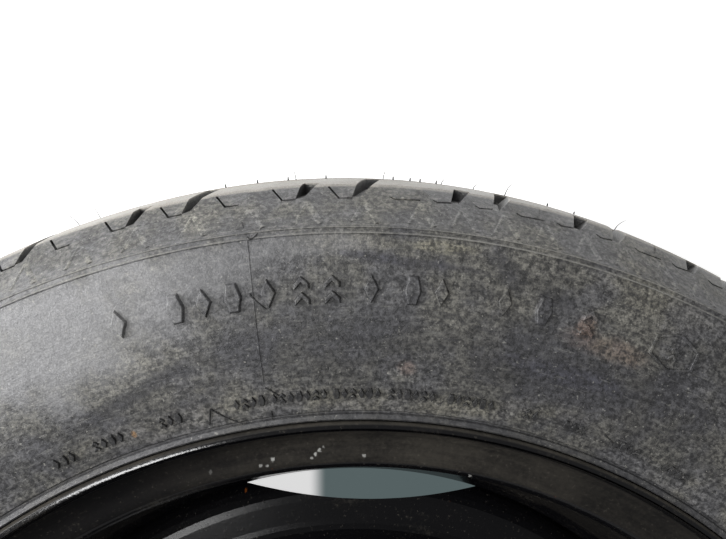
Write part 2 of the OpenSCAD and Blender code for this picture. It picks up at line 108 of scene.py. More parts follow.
@dataclass
class BentPath:
    """A path of straight stretches with round bends, as a sheet or a moulding follows.

    Attributes:
        corners: Radius, height and bend radius of each corner.
        bend_step: Largest angle of one step round a bend, in degrees.
    """

    corners: list[Corner]
    bend_step: float = 6.0

    def _direction(self, index: int) -> Vector:
        """Unit direction of the stretch that starts at a corner."""
        a, b = self.corners[index], self.corners[index + 1]
        return (Vector(b[:2]) - Vector(a[:2])).normalized()

    def side(self, offset: float) -> list[Point]:
        """Line beside the path.

        Args:
            offset: Distance to the left of the path.

        Returns:
            The line's points, with its bends.
        """
        last = len(self.corners) - 1
        line: list[Point] = []
        for i, (r, z, bend) in enumerate(self.corners):
            before = self._direction(max(i - 1, 0))
            after = self._direction(min(i, last - 1))
            left_in, left_out = Vector((-before.y, before.x)), Vector((-after.y, after.x))
            mitre = (left_in + left_out).normalized()
            corner = Vector((r, z)) + mitre * (offset / mitre.dot(left_in))
            angle = math.atan2(before.x * after.y - before.y * after.x, before.dot(after))
            radius = bend - math.copysign(offset, angle)
            if i in (0, last) or bend == 0 or radius <= 0:
                line.append(tuple(corner))
                continue
            start = corner - before * radius * math.tan(abs(angle) / 2)
            arm = -left_in * math.copysign(radius, angle)
            steps = max(1, math.ceil(math.degrees(abs(angle)) / self.bend_step))
            for k in range(steps + 1):
                line.append(tuple(start - arm + Matrix.Rotation(angle * k / steps, 2) @ arm))
        return line

    def sheet(self, thickness: float, crown: list[Point]) -> list[Point]:
        """Closed outline of a sheet bent along the path.

        Args:
            thickness: Thickness of the sheet.
            crown: Shape of its cut ends, as places across it (-1 left, 1 right) and depths
                below the end.

        Returns:
            The outline's points.
        """
        left, right = self.side(thickness / 2), self.side(-thickness / 2)
        ends = []
        for a, b, inward in ((left[0], right[0], self._direction(0)),
                             (left[-1], right[-1], -self._direction(len(self.corners) - 2))):
            middle, half = (Vector(a) + Vector(b)) / 2, (Vector(b) - Vector(a)) / 2
            ends.append([tuple(middle + half * x + inward * depth) for x, depth in crown])
        return left[1:-1] + ends[1] + right[1:-1][::-1] + ends[0][::-1]


def finished(name: str, mesh: Mesh, sharp: float = 35.0) -> Piece:
    """Object made of a bmesh, shaded smooth up to an angle.

    Args:
        name: Name of the piece.
        mesh: Its shape, which is freed.
        sharp: Angle past which an edge stays sharp, in degrees.

    Returns:
        The linked object.
    """
    data = bpy.data.meshes.new(name)
    mesh.to_mesh(data)
    mesh.free()
    data.shade_smooth()
    data.set_sharp_from_angle(angle=math.radians(sharp))
    piece = bpy.data.objects.new(name, data)
    bpy.context.scene.collection.objects.link(piece)
    return piece


def spun(outline: list[Point], steps: int) -> Mesh:
    """Closed outline of radii and heights, spun once round the axis in some steps."""
    mesh = bmesh.new()
    verts = [mesh.verts.new((r, 0.0, z)) for r, z in outline]
    edges = [mesh.edges.new(pair) for pair in zip(verts, verts[1:] + verts[:1])]
    bmesh.ops.spin(mesh, geom=verts + edges, cent=(0, 0, 0), axis=(0, 0, 1), angle=math.tau,
                   steps=steps, use_merge=True, use_duplicate=False)
    bmesh.ops.remove_doubles(mesh, verts=mesh.verts, dist=1e-7)
    bmesh.ops.recalc_face_normals(mesh, faces=mesh.faces)
    return mesh


def raise_base(mesh: Mesh, base: list[bmesh.types.BMFace], middle: Vector, sweep: Vector,
               place: Matrix, draft: Point) -> None:
    """Sweeps flat faces into a closed shape and puts it in place.

    Args:
        mesh: Mesh that holds the faces.
        base: The faces.
        middle: Place that the top is drawn in to.
        sweep: Length and direction of the sides.
        place: Where the shape goes.
        draft: Width and height of its top as shares of its base's.
    """
    raised = bmesh.ops.extrude_face_region(mesh, geom=base, use_keep_orig=True)["geom"]
    top = [v for v in raised if isinstance(v, bmesh.types.BMVert)]
    bmesh.ops.scale(mesh, verts=top, vec=(*draft, 1.0), space=Matrix.Translation(-middle))
    bmesh.ops.translate(mesh, verts=top, vec=sweep)
    verts = list(dict.fromkeys(v for f in base for v in f.verts)) + top
    faces = dict.fromkeys(f for v in verts for f in v.link_faces)
    bmesh.ops.recalc_face_normals(mesh, faces=list(faces))
    bmesh.ops.transform(mesh, matrix=place, verts=verts)


def add_prism(mesh: Mesh, outline: list[Vector], sweep: Vector, place: Matrix,
              draft: Point = (1.0, 1.0)) -> None:
    """Adds a closed prism to a mesh, as raise_base does, from the corners of its base."""
    base = mesh.faces.new([mesh.verts.new(p) for p in outline])
    middle = sum(outline, Vector((0, 0, 0))) / len(outline)
    raise_base(mesh, [base], middle, sweep, place, draft)


def carve(body: Piece, cuts: Mesh) -> None:
    """Cuts closed shapes that don't meet each other out of a piece, and frees them."""
    tool = finished("cuts", cuts)
    cut = body.modifiers.new("cut", "BOOLEAN")
    cut.operation = "DIFFERENCE"
    cut.solver = "MANIFOLD"
    cut.object = tool
    view = bpy.context.evaluated_depsgraph_get()
    view.update()
    result = bpy.data.meshes.new_from_object(body.evaluated_get(view))
    body.modifiers.clear()
    body.data = result
    bpy.data.objects.remove(tool)


def dress(piece: Piece, material: Material, slot: str, *stands_for: str) -> None:
    """Gives a piece its finish and fixes it to the wheel.

    Args:
        piece: The new piece.
        material: Its finish.
        slot: The record's material slot; not used.
        stands_for: Construction nodes that it replaces.
    """
    piece.data.materials.clear()
    piece.data.materials.append(material)
    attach(piece, WHEEL)
    if stands_for:
        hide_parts(*stands_for)
    log.info("%s: %d faces", piece.name, len(piece.data.polygons))


@dataclass(frozen=True)
class Spot:
    """One stain, speck or field of painted sheen of a finish.

    Attributes:
        radius: Distance of its middle from the axis, in mm.
        angle: Degrees clockwise from +Y.
        half_along: Half its length, in mm.
        half_out: Half its width, in mm.
        tilt: Turn of its length from the circle there, in degrees, counterclockwise.
        colour: What it is tinted to.
        share: How strong it is.
    """

    radius: float
    angle: float
    half_along: float
    half_out: float
    tilt: float
    colour: Colour
    share: float


class Graph:
    """Node graph of one procedural material, on Object coordinates."""

    def __init__(self, name: str) -> None:
        """Starts the material of a name, with its coordinates."""
        self.material = bpy.data.materials.new(name)
        self.material.use_nodes = True
        self.tree = self.material.node_tree
        self.place = self.node("ShaderNodeTexCoord").outputs["Object"]
        self.x, self.y, self.z = self.node("ShaderNodeSeparateXYZ", {0: self.place}).outputs

    def fill(self, node: bpy.types.Node, inputs: dict[int | str, object]) -> None:
        """Links some inputs of a node, or sets plain values on them."""
        for key, value in inputs.items():
            socket = node.inputs[key]
            if isinstance(value, Socket):
                self.tree.links.new(value, socket)
            else:
                socket.default_value = (*value, 1.0) if socket.type == "RGBA" else value

    def node(self, kind: str, inputs: dict[int | str, object] | None = None,
             **settings: object) -> bpy.types.Node:
        """Adds a node with its settings and inputs."""
        made = self.tree.nodes.new(kind)
        for key, value in settings.items():
            setattr(made, key, value)
        self.fill(made, inputs or {})
        return made

    def made(self, inputs: dict[int | str, object]) -> Material:
        """Sets the shader's inputs and gives the finished material."""
        self.fill(self.tree.nodes["Principled BSDF"], inputs)
        return self.material

    def math(self, operation: str, a: object, b: object = 0.0) -> Socket:
        """Result of one sum on one or two values."""
        return self.node("ShaderNodeMath", {0: a, 1: b}, operation=operation).outputs[0]

    def plus(self, a: object, b: object) -> Socket:
        """Sum of two values."""
        return self.math("ADD", a, b)

    def minus(self, a: object, b: object) -> Socket:
        """Difference of two values."""
        return self.math("SUBTRACT", a, b)

    def times(self, a: object, b: object) -> Socket:
        """Product of two values."""
        return self.math("MULTIPLY", a, b)

    def weighed(self, first: tuple[Socket, float], *others: tuple[Socket, float]) -> Socket:
        """Sum of values, each times its weight."""
        total = self.times(*first)
        for value, weight in others:
            total = self.plus(total, self.times(value, weight))
        return total

    @cached_property
    def radius(self) -> Socket:
        """Distance from the wheel's axis."""
        return self.math("SQRT", self.plus(self.times(self.x, self.x), self.times(self.y, self.y)))

    def stretched(self, around: float, out: float, up: float) -> Socket:
        """Coordinates drawn out along the wheel's circles, without a seam.

        Args:
            around: Scale round the axis.
            out: Scale along the radius.
            up: Scale along the axis.

        Returns:
            A vector for a noise of scale 1.
        """
        turn = [self.times(self.math("DIVIDE", p, self.radius), around) for p in (self.x, self.y)]
        height = self.weighed((self.radius, out), (self.z, up))
        inputs = {0: turn[0], 1: turn[1], 2: height}
        return self.node("ShaderNodeCombineXYZ", inputs).outputs[0]

    def ramp(self, value: Socket, low: float, high: float, start: float = 0.0,
             end: float = 1.0) -> Socket:
        """Smooth step of a value between two levels."""
        inputs = {"Value": value, "From Min": low, "From Max": high,
                  "To Min": start, "To Max": end}
        made = self.node("ShaderNodeMapRange", inputs, interpolation_type="SMOOTHSTEP")
        return made.outputs["Result"]

    def band(self, value: Socket, low: float, high: float, soft: float) -> Socket:
        """1 where a value lies between two levels, fading to 0 past each."""
        past_low = self.ramp(value, low - soft, low + soft)
        return self.times(past_low, self.ramp(value, high - soft, high + soft, 1.0, 0.0))

    def shade(self, colour: object, share: Socket) -> Socket:
        """Colour made lighter or darker by a share."""
        inputs = {0: colour, "Scale": share}
        return self.node("ShaderNodeVectorMath", inputs, operation="SCALE").outputs[0]

    def noise(self, scale: float, detail: float = 4.0, rough: float = 0.6,
              place: Socket | None = None) -> Socket:
        """Noise between 0 and 1."""
        inputs = {"Vector": place or self.place, "Scale": scale,
                  "Detail": detail, "Roughness": rough}
        return self.node("ShaderNodeTexNoise", inputs).outputs["Fac"]

    def mix(self, share: object, a: object, b: object, blend: str = "MIX") -> Socket:
        """Colour between two colours, or blended from them in another way."""
        inputs = {"Factor": share, 6: a, 7: b}
        return self.node("ShaderNodeMix", inputs, data_type="RGBA", blend_type=blend).outputs[2]

    def bump(self, height: Socket, depth: float, under: Socket | None = None) -> Socket:
        """Bump of a height between 0 and 1, over another bump if one is given."""
        inputs = {"Strength": 1.0, "Distance": depth, "Height": height}
        if under is not None:
            inputs["Normal"] = under
        return self.node("ShaderNodeBump", inputs).outputs["Normal"]

    def spotted(self, colour: object, spots: tuple[Spot, ...], rag: Socket, ragged: float,
                where: Socket | None = None) -> object:
        """Lays soft-edged oval spots over a colour.

        Args:
            colour: The colour under them.
            spots: The spots, the lowest first.
            rag: Noise that frays their edges.
            ragged: How far it frays them.
            where: Share to which each place takes them, or everywhere.

        Returns:
            The spotted colour.
        """
        for spot in spots:
            moved = self.node("ShaderNodeMapping", {
                "Vector": self.place,
                "Location": tuple(polar(spot.radius * MM, spot.angle, 0.0)),
                "Rotation": (0.0, 0.0, math.radians(spot.tilt - spot.angle)),
                "Scale": (spot.half_along * MM, spot.half_out * MM, 1.0),
            }, vector_type="TEXTURE").outputs[0]
            span = self.node("ShaderNodeVectorMath", {0: moved}, operation="LENGTH").outputs
            frayed = self.plus(span["Value"], self.times(self.minus(rag, 0.5), ragged))
            cover = self.ramp(frayed, 0.35, 1.1, 1.0, 0.0)
            if where is not None:
                cover = self.times(cover, where)
            colour = self.mix(self.times(cover, spot.share), colour, spot.colour)
        return colour


DARK: Colour = (0.034, 0.034, 0.037)
INKY: Colour = (0.037, 0.037, 0.045)
# Painted shade in the tread's notches and sipes.
PAINTED_RECESS_SHADE: Colour = (0.012, 0.012, 0.012)
# Grey of the painted sheen on the sidewall's left.
PAINTED_SHEEN_GREY: Colour = (0.33, 0.33, 0.335)
SANDY: Colour = (0.215, 0.205, 0.175)
RUSTY: Colour = (0.19, 0.125, 0.09)
OLIVE: Colour = (0.20, 0.19, 0.145)
OCHRE: Colour = (0.42, 0.24, 0.10)
WIPED: Colour = (0.24, 0.235, 0.22)
RIDGE_DUST_AND_HIGHLIGHT: Colour = (0.30, 0.295, 0.27)
LINT: Colour = (0.40, 0.39, 0.35)
COOL: Colour = (0.98, 0.98, 1.02)
WARM: Colour = (1.03, 1.01, 0.92)
CHALK: Colour = (0.42, 0.42, 0.40)
RUST: Colour = (0.30, 0.085, 0.015)
DULL_RUST: Colour = (0.14, 0.05, 0.02)
ROAD_GRIT: Colour = (0.075, 0.068, 0.057)

STAINS = tuple(Spot(*row) for row in (
    (232, 19.0, 66, 21, 0.0, DARK, 0.72), (234, -3.0, 42, 18, 0.0, DARK, 0.60),
    (219, -21.0, 54, 12, 0.0, DARK, 0.56), (227.6, -18.6, 34, 3.6, 12.0, DARK, 0.9),
    (233.5, -9.5, 28, 6, 6.0, DARK, 0.6), (256, -13.6, 5, 4, 20.0, INKY, 0.4),
    (260.4, 4.0, 30, 2.2, -4.0, INKY, 0.85), (262, 10.6, 12, 5, -24.0, DARK, 0.85),
    (256, 14.5, 10, 4, -10.0, DARK, 0.6), (236, 2.5, 40, 7, 0.0, DARK, 0.5),
    (233, 16.5, 34, 4.5, 2.0, INKY, 0.8), (214, 4.0, 75, 5, 0.0, SANDY, 0.32),
    (216, -17.0, 40, 5, 0.0, SANDY, 0.30), (246, 19.5, 17, 5, 0.0, RUSTY, 0.26),
    (250, 17.4, 4, 4.5, 0.0, RUSTY, 0.5), (226, 4.2, 4, 3, 0.0, RUSTY, 0.35),
    (216.4, -19.05, 0.9, 1.3, 0.0, OCHRE, 0.8), (266, 6.0, 14, 2.6, 0.0, OLIVE, 0.5),
    (266, -0.5, 20, 3, 0.0, SANDY, 0.35), (266, 22.0, 26, 7, 0.0, SANDY, 0.26),
))
# Painted sheen: soft pale fields where the sidewall's left reflects the light.
PAINTED_SHEEN_FIELDS = tuple(Spot(*row) for row in (
    (254, -22.0, 52, 24, 0.0, PAINTED_SHEEN_GREY, 0.58), (262, -12.0, 36, 11, 0.0, PAINTED_SHEEN_GREY, 0.34),
    (266, -3.0, 26, 5, 0.0, PAINTED_SHEEN_GREY, 0.24),
))
RIM_SPECKS = tuple(Spot(r, a, size, size, 0.0, CHALK, share) for r, a, size, share in (
    (194.3, -8.1, 0.85, 0.65), (192.8, -9.4, 0.6, 0.45), (192.4, -8.7, 0.6, 0.5),
    (194.5, -14.3, 0.9, 0.14), (193.2, 1.0, 0.7, 0.55), (193.2, -4.2, 0.6, 0.45),
    (194.4, -3.8, 0.75, 0.7), (195.7, -3.4, 0.7, 0.6), (196.9, -3.0, 0.55, 0.4),
    (189.0, 12.4, 0.8, 0.6),
))
DISC_SPECKS = tuple(Spot(r, a, size, size, 0.0, colour, share) for r, a, size, colour, share in (
    (167.5, -14.6, 0.7, RUST, 0.7), (152.0, 31.0, 0.9, CHALK, 0.4),
    (139.0, -52.0, 1.2, RUST, 0.6), (121.0, 118.0, 1.4, RUST, 0.6),
    (98.0, -121.0, 1.2, CHALK, 0.5), (148.0, 204.0, 1.3, RUST, 0.6),
))


@dataclass(frozen=True)
class TyreFinish:
    """Dusty, scuffed moulded rubber, with painted sheen, highlights and shade.

    Attributes:
        name: Name of the material.
        clean: Rubber with little dust.
        dusty: Rubber under its dust.
        tread: Colour of the tread: its dust, with painted sheen for the grazing light it catches.
        dust_share: How much dust lies on it, from 0 to 1.
        stains_and_painted_light: Whether the sidewall's stains, the tread's dust and the painted
            sheen, highlights and shade are on it.
        ragged: How far noise frays the stains and the painted sheen.
        tread_r: Radius over the middle of the tread.
        tread_arc: Twice the radius of the tread's arc across the section.
        shoulder: Radius and height of the shoulder edge.
        buttress_out: Direction out of the buttress, along the radius and the axis.
        ridge_rings: Inner and outer radius of each thin ring ridge.
    """

    name: str
    clean: Colour = (0.056, 0.056, 0.057)
    dusty: Colour = (0.132, 0.129, 0.122)
    tread: Colour = (0.36, 0.335, 0.295)
    dust_share: float = 0.5
    stains_and_painted_light: bool = True
    ragged: float = 1.3
    tread_r: float = 290.5 * MM
    tread_arc: float = 412 * MM
    shoulder: Point = (285 * MM, 47.3 * MM)
    buttress_out: Point = (0.773, 0.635)
    ridge_rings: tuple[Point, ...] = ((269.0 * MM, 269.5 * MM), (270.85 * MM, 271.15 * MM))

    def material(self) -> Material:
        """Builds the material."""
        g = Graph(self.name)
        cloud = g.noise(24.0, 7.0, 0.66)
        scuff = g.noise(1.0, 7.0, 0.7, g.stretched(10.0, 300.0, 90.0))
        wipe = g.noise(1.0, 6.0, 0.65, g.stretched(34.0, 1100.0, 300.0))
        streaks = g.noise(1.0, 6.0, 0.75, g.stretched(22.0, 250.0, 120.0))
        grit = g.noise(620.0, 4.0, 0.75)
        grain = g.noise(1700.0, 3.0, 0.7)
        rag = g.noise(95.0, 6.0, 0.7)
        least = 0.54 - 0.35 * self.dust_share
        dust = g.ramp(g.weighed((cloud, 0.45), (scuff, 0.35), (grit, 0.2)), least, least + 0.32)
        colour = g.mix(dust, self.clean, self.dusty)
        if self.stains_and_painted_light:
            colour = g.spotted(colour, STAINS, rag, self.ragged)
        mottle = g.ramp(streaks, 0.3, 0.7, 0.74, 1.24)
        colour = g.shade(colour, g.times(g.ramp(grit, 0.35, 0.65, 0.22, 1.92), mottle))
        tint = g.mix(g.ramp(g.noise(48.0, 4.0, 0.6), 0.42, 0.58), COOL, WARM)
        colour = g.mix(1.0, colour, tint, "MULTIPLY")
        colour = g.mix(g.ramp(wipe, 0.50, 0.68, 0.0, 0.6), colour, DARK)
        colour = g.mix(g.ramp(wipe, 0.30, 0.44, 0.38, 0.0), colour, WIPED)
        if self.stains_and_painted_light:
            # Painted sheen on the sidewall's left.
            colour = g.spotted(colour, PAINTED_SHEEN_FIELDS, rag, self.ragged)
            colour = self.crowned(g, colour, cloud)
        colour = g.mix(g.ramp(g.noise(900.0, 2.0, 0.5), 0.66, 0.74, 0.0, 0.5), colour, LINT)
        colour = g.mix(g.ramp(grain, 0.35, 0.7, 0.42, 0.0), colour, DARK)
        coarse = g.bump(cloud, 0.5 * MM)
        fine = g.bump(grit, 0.22 * MM, g.bump(grain, 0.10 * MM, coarse))
        return g.made({
            # Painted shade: the rubber darkens towards +x, away from the lamps on the -x side.
            "Base Color": g.shade(colour, g.ramp(g.x, -100 * MM, 20 * MM, 1.05, 0.87)),
            "Roughness": g.ramp(dust, 0.0, 1.0, 0.42, 0.62),
            "Normal": g.bump(wipe, 0.12 * MM, fine),
        })

    def crowned(self, g: Graph, colour: object, cloud: Socket) -> Socket:
        """Dusts the tread and the two ridge lines, with painted sheen and highlight on them, and
        paints shade into the notches, the sipes and beside the flange.

        Args:
            g: The material's graph.
            colour: The colour under the dust.
            cloud: Noise of the dust.

        Returns:
            The colour.
        """
        edge_r, edge_z = self.shoulder
        level = g.math("ABSOLUTE", g.z)
        arc = g.minus(self.tread_r, g.math("DIVIDE", g.times(g.z, g.z), self.tread_arc))
        under_tread = g.minus(arc, g.radius)
        over_buttress = g.weighed((g.minus(g.radius, edge_r), self.buttress_out[0]),
                                  (g.minus(level, edge_z), self.buttress_out[1]))
        depth = g.math("MINIMUM", under_tread, g.times(over_buttress, -1.0))
        # Tread band: dust, with painted sheen for the grazing light it catches.
        tread_dust_and_sheen = g.times(g.ramp(under_tread, 0.3 * MM, 0.9 * MM, 1.0, 0.0),
                        g.ramp(level, edge_z, edge_z + 0.8 * MM, 1.0, 0.0))
        colour = g.mix(g.times(tread_dust_and_sheen, g.ramp(cloud, 0.25, 0.6, 0.7, 1.0)), colour, self.tread)
        # Ring ridges: dust, with a painted highlight for the light their tops catch.
        for low, high in self.ridge_rings:
            ring = g.band(g.radius, low, high, 0.12 * MM)
            colour = g.mix(g.times(ring, g.ramp(cloud, 0.35, 0.6, 0.25, 0.75)), colour, RIDGE_DUST_AND_HIGHLIGHT)
        # Painted shade in the check-line groove and beside the rim's flange.
        painted_flange_shade = g.ramp(g.radius, 209.9 * MM, 211.3 * MM, 0.62, 0.0)
        colour = g.mix(painted_flange_shade, colour, DARK)
        # Painted shade in the notches and sipes, darker with depth.
        past_ridges = g.ramp(g.radius, 272 * MM, 273.5 * MM)
        painted_recess_shade = g.times(g.ramp(depth, 0.5 * MM, 1.9 * MM), past_ridges)
        return g.mix(g.times(painted_recess_shade, 0.9), colour, PAINTED_RECESS_SHADE)


@dataclass(frozen=True)
class DustRing:
    """A ring of the paint where road dust lies.

    Attributes:
        inner: Its inner radius.
        outer: Its outer radius.
        share: How much dust lies there.
        dull: How dull it is.
        thins: Whether the dust thins out away from the middle of the photo's part.
    """

    inner: float
    outer: float
    share: float
    dull: float
    thins: bool = False


@dataclass(frozen=True)
class PaintFinish:
    """Gloss black paint on pressed steel, under road dust.

    Attributes:
        name: Name of the material.
        dust_low: Level of the noise at which the dust starts.
        gloss: Roughness of the clean paint.
        sheen: Level of its reflection.
        specks: Spots of dust or rust that catch the eye.
        rings: Rings where dust lies.
        paint: Colour of the paint.
        dust: Colour of the dust.
        rust: Share of rust specks.
    """

    name: str
    dust_low: float
    gloss: float
    sheen: float
    specks: tuple[Spot, ...]
    rings: tuple[DustRing, ...] = ()
    paint: Colour = (0.0030, 0.0030, 0.0036)
    dust: Colour = (0.052, 0.047, 0.039)
    rust: float = 0.5

    def material(self) -> Material:
        """Builds the material."""
        g = Graph(self.name)
        cloud = g.noise(30.0, 7.0, 0.7)
        grit = g.noise(760.0, 3.0, 0.65)
        swirl = g.noise(1.0, 6.0, 0.68, g.stretched(8.0, 340.0, 240.0))
        blotch = g.weighed((cloud, 0.45), (swirl, 0.3), (grit, 0.25))
        dust = dull = g.ramp(blotch, self.dust_low, self.dust_low + 0.26)
        thinned = g.times(g.ramp(g.x, -85 * MM, -5 * MM, 0.10, 1.0),
                          g.ramp(g.x, 25 * MM, 120 * MM, 1.0, 0.45))
        for ring in self.rings:
            band = g.band(g.radius, ring.inner, ring.outer, 0.45 * MM)
            lies = g.times(g.times(band, ring.share), g.ramp(blotch, 0.35, 0.6, 0.25, 1.0))
            dust = g.math("MAXIMUM", dust, g.times(lies, thinned) if ring.thins else lies)
            dull = g.math("MAXIMUM", dull, g.times(band, ring.dull))
        colour = g.mix(dust, self.paint, self.dust)
        colour = g.mix(g.ramp(grit, 0.62, 0.74, 0.0, 0.4), colour, ROAD_GRIT)
        rust = g.times(g.ramp(g.noise(160.0, 3.0, 0.6), 0.74, 0.79), self.rust)
        colour = g.mix(rust, colour, DULL_RUST)
        street_side = g.ramp(g.z, 0.0, 2.0 * MM)
        colour = g.spotted(colour, self.specks, g.noise(900.0, 3.0, 0.6), 3.0, street_side)
        orange_peel = g.bump(g.noise(330.0, 2.0, 0.5), 0.02 * MM)
        return g.made({
            "Base Color": colour,
            "Roughness": g.ramp(dull, 0.0, 1.0, self.gloss, 0.75),
            "Specular IOR Level": g.ramp(dull, 0.0, 1.0, self.sheen, 0.08),
            "Normal": g.bump(grit, 0.04 * MM, orange_peel),
        })


@dataclass(frozen=True)
class PlainFinish:
    """Turned, moulded or drawn small parts.

    Attributes:
        name: Name of the material.
        base: Main colour.
        worn: Colour of its worn or dusty places.
        metallic: 1 for metal.
        rough: Lowest and highest roughness.
        grain: Depth of its grain.
        scale: Scale of its clouding.
    """

    name: str
    base: Colour
    worn: Colour
    metallic: float = 0.0
    rough: Point = (0.4, 0.6)
    grain: float = 0.01 * MM
    scale: float = 300.0

    def material(self) -> Material:
        """Builds the material."""
        g = Graph(self.name)
        cloud = g.noise(self.scale, 5.0, 0.6)
        return g.made({
            "Base Color": g.mix(g.ramp(cloud, 0.4, 0.7), self.base, self.worn),
            "Roughness": g.ramp(cloud, 0.3, 0.7, *self.rough),
            "Metallic": self.metallic,
            "Normal": g.bump(g.noise(self.scale * 9, 2.0, 0.5), self.grain),
        })


@dataclass
class Tyre:
    """The moulded tyre, with its tread pattern, sipes and casing.

    Attributes:
        radius: Radius over the tread, from the frame.
        half_width: Half the overall width, from the frame.
        steps: Steps of its spin.

    The other fields are the moulding's lengths and angles in degrees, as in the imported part.
    """

    radius: float
    half_width: float
    steps: int = 360
    half_tread: float = 47.3 * MM
    tread_fall: float = 5.5 * MM
    crown_t: float = 10 * MM
    sidewall_t: float = 8 * MM
    widest_r: float = 250 * MM
    half_band: float = 4 * MM
    side_arc_r: float = 125 * MM
    buttress_r: float = 271 * MM
    groove_pitch: float = 21 * MM
    groove_depth: float = 4.4 * MM
    groove_floor: float = 2.6 * MM
    groove_top: float = 3.3 * MM
    seat_r: float = 190.1 * MM
    flange_r: float = 207.4 * MM
    flange_z: float = 50.8 * MM
    curl_r: float = 9.5 * MM
    heel_r: float = 6.5 * MM
    bead_w: float = 14 * MM
    bead_gap: float = 0.35 * MM
    seat_taper: float = 5.0
    notch_w: float = 2.4 * MM
    notch_depth: float = 3.5 * MM
    notch_lean: float = 12.0
    short_notch_l: float = 8 * MM
    notch_far_wall: float = 40.0
    first_group: float = -39.6
    long_pitch: float = 11.5
    long_groups: int = 4
    short_groups: int = 5
    quadrants: int = 4
    notch_shift: float = 1.6
    late_shift: float = -0.9
    plain_from: float = 41.6
    sipe_w: float = 0.75 * MM
    sipe_depth: float = 2.2 * MM

    def tread_at(self, z: float) -> float:
        """Radius of the tread's surface at a height."""
        arc = (self.half_tread**2 + self.tread_fall**2) / (2 * self.tread_fall)
        return self.radius - arc + math.sqrt(arc**2 - z**2)

    def side_at(self, r: float) -> float:
        """Height of the sidewall's surface at a radius."""
        past = max(0.0, abs(r - self.widest_r) - self.half_band)
        return self.half_width - self.side_arc_r + math.sqrt(self.side_arc_r**2 - past**2)

    @property
    def shoulder_r(self) -> float:
        """Radius of the shoulder edge."""
        return self.radius - self.tread_fall

    @property
    def check_line_r(self) -> float:
        """Radius of the thin groove beside the flange."""
        return self.flange_r + 3.1 * MM

    def groove_groups(self) -> list[tuple[float, float]]:
        """Start and pitch of each group of blocks round the shoulder, in degrees."""
        quarter = 360 / self.quadrants
        short = (quarter - self.long_groups * self.long_pitch) / self.short_groups
        groups = []
        for q in range(self.quadrants):
            start = self.first_group + q * quarter
            for g in range(self.long_groups + self.short_groups):
                late = g >= self.long_groups
                pitch = short if late else self.long_pitch
                groups.append((start + late * self.late_shift, pitch))
                start += pitch
        return groups

    def crown(self) -> list[Point]:
        """Tread line from the middle to the shoulder edge, with its grooves."""
        line: list[Point] = [(self.tread_at(0) - self.groove_depth, 0.0)]
        edge = 0.5 * MM
        for middle in (0.0, self.groove_pitch):
            floor = self.tread_at(middle) - self.groove_depth
            if middle:
                low, foot = middle - self.groove_top, middle - self.groove_floor
                line += [(self.tread_at(low) - edge, low), (floor, foot), (floor, middle)]
            line += [(floor, middle + self.groove_floor),
                     (self.tread_at(middle + self.groove_top) - edge, middle + self.groove_top)]
            near = middle + self.groove_top + edge
            far = self.groove_pitch - self.groove_top - edge
            if middle:
                far = self.half_tread - 0.9 * MM
            count = 7 if middle else 5
            for k in range(count):
                z = near + (far - near) * k / (count - 1)
                line.append((self.tread_at(z), z))
        line += [(self.shoulder_r - 0.12 * MM, self.half_tread - 0.15 * MM),
                 (self.shoulder_r - 0.75 * MM, self.half_tread + 0.75 * MM)]
        return line

    def flank(self) -> list[Point]:
        """Line down the buttress and the sidewall to the rim's flange, with its thin rings."""
        line: list[Point] = []
        steep = self.side_at(self.buttress_r) - self.half_tread
        drop = self.shoulder_r - self.buttress_r
        for share in (0.25, 0.5, 0.75, 0.93):
            line.append((self.shoulder_r - drop * share, self.half_tread + steep * share))
        rings = ((self.buttress_r, 0.22 * MM, 0.35 * MM),
                 (self.buttress_r - 1.9 * MM, 0.38 * MM, 0.5 * MM))
        for r, rise, half in rings:
            z = self.side_at(r)
            line += [(r + half, z), (r + half * 0.3, z + rise), (r - half * 0.3, z + rise),
                     (r - half, self.side_at(r - half))]
        steps = 20
        start, end = self.buttress_r - 3 * MM, self.check_line_r + 0.6 * MM
        for k in range(1, steps + 1):
            r = start + (end - start) * k / steps
            line.append((r, self.side_at(r)))
        low = self.side_at(self.check_line_r)
        groove, floor = self.check_line_r, low - 0.7 * MM
        return line + [(groove + 0.1 * MM, floor), (groove - 0.35 * MM, floor),
                       (groove - 0.8 * MM, low + 0.1 * MM),
                       (self.flange_r + 0.9 * MM, low + 0.45 * MM)]

    def foot(self) -> list[Point]:
        """Line down the flange's curl, round the heel and along the bead seat."""
        gap = self.bead_gap
        face = self.flange_z - gap
        toe_z = self.flange_z - self.bead_w
        seat = self.seat_r + gap
        path = BentPath([
            (self.flange_r + gap, self.flange_z + self.curl_r, 0.0),
            (self.flange_r + gap, face, self.curl_r + gap),
            (seat, face, self.heel_r + gap),
            (seat - self.bead_w * math.tan(math.radians(self.seat_taper)), toe_z, 0.0),
        ], 9.0)
        return path.side(0.0)

    def casing(self) -> list[Point]:
        """Line inside the casing, from the toe to the middle of the crown."""
        toe_z = self.flange_z - self.bead_w
        toe_r = self.seat_r + self.bead_gap - self.bead_w * math.tan(math.radians(self.seat_taper))
        chamfer = 1.2 * MM
        inner_z = self.half_width - self.sidewall_t
        crown = self.radius - self.crown_t
        path = BentPath([
            (toe_r + chamfer, toe_z - chamfer, 0.0),
            (self.seat_r + 10 * MM, toe_z + 5.5 * MM, 10 * MM),
            (self.widest_r - 18 * MM, inner_z, 40 * MM),
            (crown, inner_z, 34 * MM),
            (crown, 0.0, 0.0),
        ], 12.0)
        return path.side(0.0)

    def section(self) -> list[Point]:
        """Closed outline of the whole section."""
        half = self.crown() + self.flank() + self.foot() + self.casing()
        other = [(r, -z) for r, z in half[::-1] if abs(z) > 1e-9]
        return half + other

